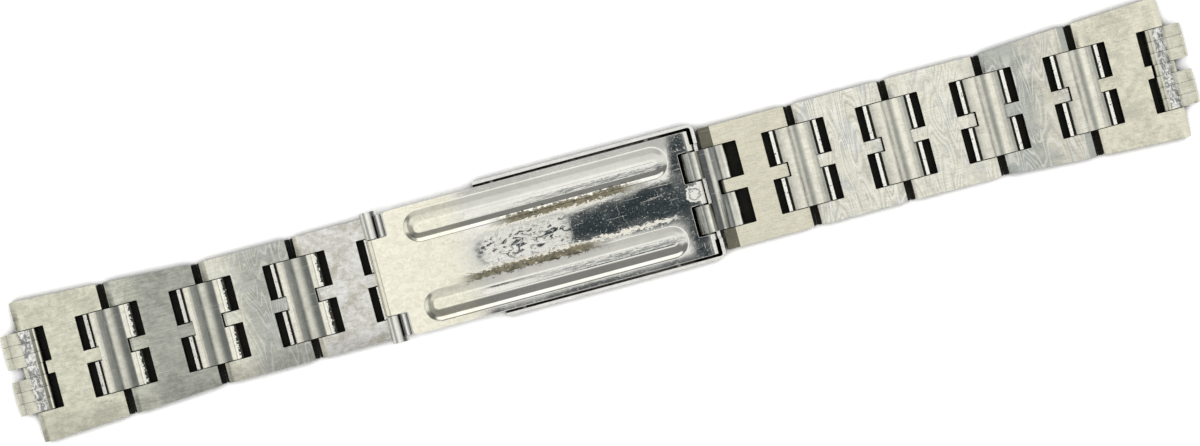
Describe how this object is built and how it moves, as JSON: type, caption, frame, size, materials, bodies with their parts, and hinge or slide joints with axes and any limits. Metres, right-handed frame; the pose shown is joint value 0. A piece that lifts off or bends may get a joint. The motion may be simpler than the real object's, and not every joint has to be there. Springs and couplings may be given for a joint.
{
  "type": "watch bracelet",
  "caption": "Steel link bracelet for a watch: folded links on pins, an end link at each end for the case, and a folding clasp of two blades and a cover, closed and lying flat.",
  "frame": {"origin": "middle of the bracelet, on the plane that its outer faces lie on", "axes": "+X along the bracelet from the end that enters the cover to the end beyond the blades, +Y across it, +Z from the outer face to the wrist side"},
  "size_m": [0.157, 0.0186, 0.0047],
  "materials": {
    "brushed_link_steel": "fine brushed, with light scratches",
    "connector_steel": "rolled sheet, half bright",
    "end_link_steel": "worn bright, with fine grooves",
    "polished_steel": "polished, with fine wear",
    "cover_steel": "brushed outside, bright at the edges",
    "pin_steel": "drawn wire",
    "spring_steel": "dark drawn wire"
  },
  "bodies": {
    "cover": {"clasp_cover": "cover_steel", "cover_hinge_pin": "pin_steel", "spring_bar_tube": "pin_steel", "spring_bar_spring": "spring_steel"},
    "spring_bar_tip_a": {"spring_bar_tip_a": "pin_steel"},
    "spring_bar_tip_b": {"spring_bar_tip_b": "pin_steel"},
    "middle_blade": {"middle_blade": "polished_steel", "blade_hinge_pin": "pin_steel"},
    "inner_blade": {"inner_blade": "polished_steel", "connector_hinge_pin": "pin_steel"},
    "clasp_connector": {"clasp_connector": "connector_steel"},
    "blade_connector": {"blade_connector": "polished_steel"},
    "end_link_a": {"end_link_a": "end_link_steel"},
    "end_link_b": {"end_link_b": "end_link_steel"},
    "link_01": {"link_01": "brushed_link_steel", "link_pins_01": "pin_steel"},
    "link_02": {"link_02": "brushed_link_steel", "link_pins_02": "pin_steel"},
    "link_03": {"link_03": "brushed_link_steel", "link_pins_03": "pin_steel"},
    "link_04": {"link_04": "brushed_link_steel", "link_pins_04": "pin_steel"},
    "link_05": {"link_05": "brushed_link_steel", "link_pins_05": "pin_steel"},
    "link_06": {"link_06": "brushed_link_steel", "link_pins_06": "pin_steel"},
    "link_07": {"link_07": "brushed_link_steel", "link_pins_07": "pin_steel"},
    "link_08": {"link_08": "brushed_link_steel", "link_pins_08": "pin_steel"},
    "link_09": {"link_09": "brushed_link_steel", "link_pins_09": "pin_steel"},
    "link_10": {"link_10": "brushed_link_steel", "link_pins_10": "pin_steel"},
    "connector_01": {"connector_01": "connector_steel"},
    "connector_02": {"connector_02": "connector_steel"},
    "connector_03": {"connector_03": "connector_steel"},
    "connector_04": {"connector_04": "connector_steel"},
    "connector_06": {"connector_06": "connector_steel"},
    "connector_07": {"connector_07": "connector_steel"},
    "connector_08": {"connector_08": "connector_steel"},
    "connector_09": {"connector_09": "connector_steel"}
  },
  "joints": [
    {"name": "spring_bar_tip_a_slide", "type": "slide", "parent": "cover", "child": "spring_bar_tip_a", "axis": [0, -1, 0], "range_m": [0, 0.0007], "stiffness_N_per_m": 400},
    {"name": "spring_bar_tip_b_slide", "type": "slide", "parent": "cover", "child": "spring_bar_tip_b", "axis": [0, 1, 0], "range_m": [0, 0.0007], "stiffness_N_per_m": 400},
    {"name": "middle_blade_hinge", "type": "hinge", "parent": "cover", "child": "middle_blade", "pos_m": [0.0083, 0, 0.00141], "axis": [0, 1, 0], "range_deg": [0, 150]},
    {"name": "inner_blade_hinge", "type": "hinge", "parent": "middle_blade", "child": "inner_blade", "pos_m": [-0.0288, 0, 0.0035], "axis": [0, -1, 0], "range_deg": [0, 150]},
    {"name": "clasp_connector_hinge", "type": "hinge", "parent": "cover", "child": "clasp_connector", "pos_m": [-0.01222, 0, 0.00141], "axis": [0, 1, 0], "range_deg": [-5, 0.5]},
    {"name": "link_05_hinge", "type": "hinge", "parent": "clasp_connector", "child": "link_05", "pos_m": [-0.01673, 0, 0.00141], "axis": [0, 1, 0], "range_deg": [-5, 0.8]},
    {"name": "connector_04_hinge", "type": "hinge", "parent": "link_05", "child": "connector_04", "pos_m": [-0.02467, 0, 0.00141], "axis": [0, 1, 0], "range_deg": [-2, 3]},
    {"name": "link_04_hinge", "type": "hinge", "parent": "connector_04", "child": "link_04", "pos_m": [-0.02918, 0, 0.00141], "axis": [0, 1, 0], "range_deg": [-2, 20]},
    {"name": "connector_03_hinge", "type": "hinge", "parent": "link_04", "child": "connector_03", "pos_m": [-0.03712, 0, 0.00141], "axis": [0, 1, 0], "range_deg": [-2, 20]},
    {"name": "link_03_hinge", "type": "hinge", "parent": "connector_03", "child": "link_03", "pos_m": [-0.04163, 0, 0.00141], "axis": [0, 1, 0], "range_deg": [-2, 20]},
    {"name": "connector_02_hinge", "type": "hinge", "parent": "link_03", "child": "connector_02", "pos_m": [-0.04957, 0, 0.00141], "axis": [0, 1, 0], "range_deg": [-2, 20]},
    {"name": "link_02_hinge", "type": "hinge", "parent": "connector_02", "child": "link_02", "pos_m": [-0.05408, 0, 0.00141], "axis": [0, 1, 0], "range_deg": [-2, 20]},
    {"name": "connector_01_hinge", "type": "hinge", "parent": "link_02", "child": "connector_01", "pos_m": [-0.06202, 0, 0.00141], "axis": [0, 1, 0], "range_deg": [-2, 20]},
    {"name": "link_01_hinge", "type": "hinge", "parent": "connector_01", "child": "link_01", "pos_m": [-0.06653, 0, 0.00141], "axis": [0, 1, 0], "range_deg": [-2, 20]},
    {"name": "end_link_a_hinge", "type": "hinge", "parent": "link_01", "child": "end_link_a", "pos_m": [-0.07447, 0, 0.00141], "axis": [0, 1, 0], "range_deg": [-5, 20]},
    {"name": "blade_connector_hinge", "type": "hinge", "parent": "inner_blade", "child": "blade_connector", "pos_m": [0.0131, 0, 0.0019], "axis": [0, -1, 0], "range_deg": [-5, 20]},
    {"name": "link_06_hinge", "type": "hinge", "parent": "blade_connector", "child": "link_06", "pos_m": [0.01673, 0, 0.00141], "axis": [0, -1, 0], "range_deg": [-5, 20]},
    {"name": "connector_06_hinge", "type": "hinge", "parent": "link_06", "child": "connector_06", "pos_m": [0.02467, 0, 0.00141], "axis": [0, -1, 0], "range_deg": [-2, 20]},
    {"name": "link_07_hinge", "type": "hinge", "parent": "connector_06", "child": "link_07", "pos_m": [0.02918, 0, 0.00141], "axis": [0, -1, 0], "range_deg": [-2, 20]},
    {"name": "connector_07_hinge", "type": "hinge", "parent": "link_07", "child": "connector_07", "pos_m": [0.03712, 0, 0.00141], "axis": [0, -1, 0], "range_deg": [-2, 20]},
    {"name": "link_08_hinge", "type": "hinge", "parent": "connector_07", "child": "link_08", "pos_m": [0.04163, 0, 0.00141], "axis": [0, -1, 0], "range_deg": [-2, 20]},
    {"name": "connector_08_hinge", "type": "hinge", "parent": "link_08", "child": "connector_08", "pos_m": [0.04957, 0, 0.00141], "axis": [0, -1, 0], "range_deg": [-2, 20]},
    {"name": "link_09_hinge", "type": "hinge", "parent": "connector_08", "child": "link_09", "pos_m": [0.05408, 0, 0.00141], "axis": [0, -1, 0], "range_deg": [-2, 20]},
    {"name": "connector_09_hinge", "type": "hinge", "parent": "link_09", "child": "connector_09", "pos_m": [0.06202, 0, 0.00141], "axis": [0, -1, 0], "range_deg": [-2, 20]},
    {"name": "link_10_hinge", "type": "hinge", "parent": "connector_09", "child": "link_10", "pos_m": [0.06653, 0, 0.00141], "axis": [0, -1, 0], "range_deg": [-2, 20]},
    {"name": "end_link_b_hinge", "type": "hinge", "parent": "link_10", "child": "end_link_b", "pos_m": [0.07447, 0, 0.00141], "axis": [0, -1, 0], "range_deg": [-5, 20]}
  ],
  "couplings": [
    {"joint": "inner_blade_hinge", "follows": "middle_blade_hinge", "ratio": 1}
  ]
}
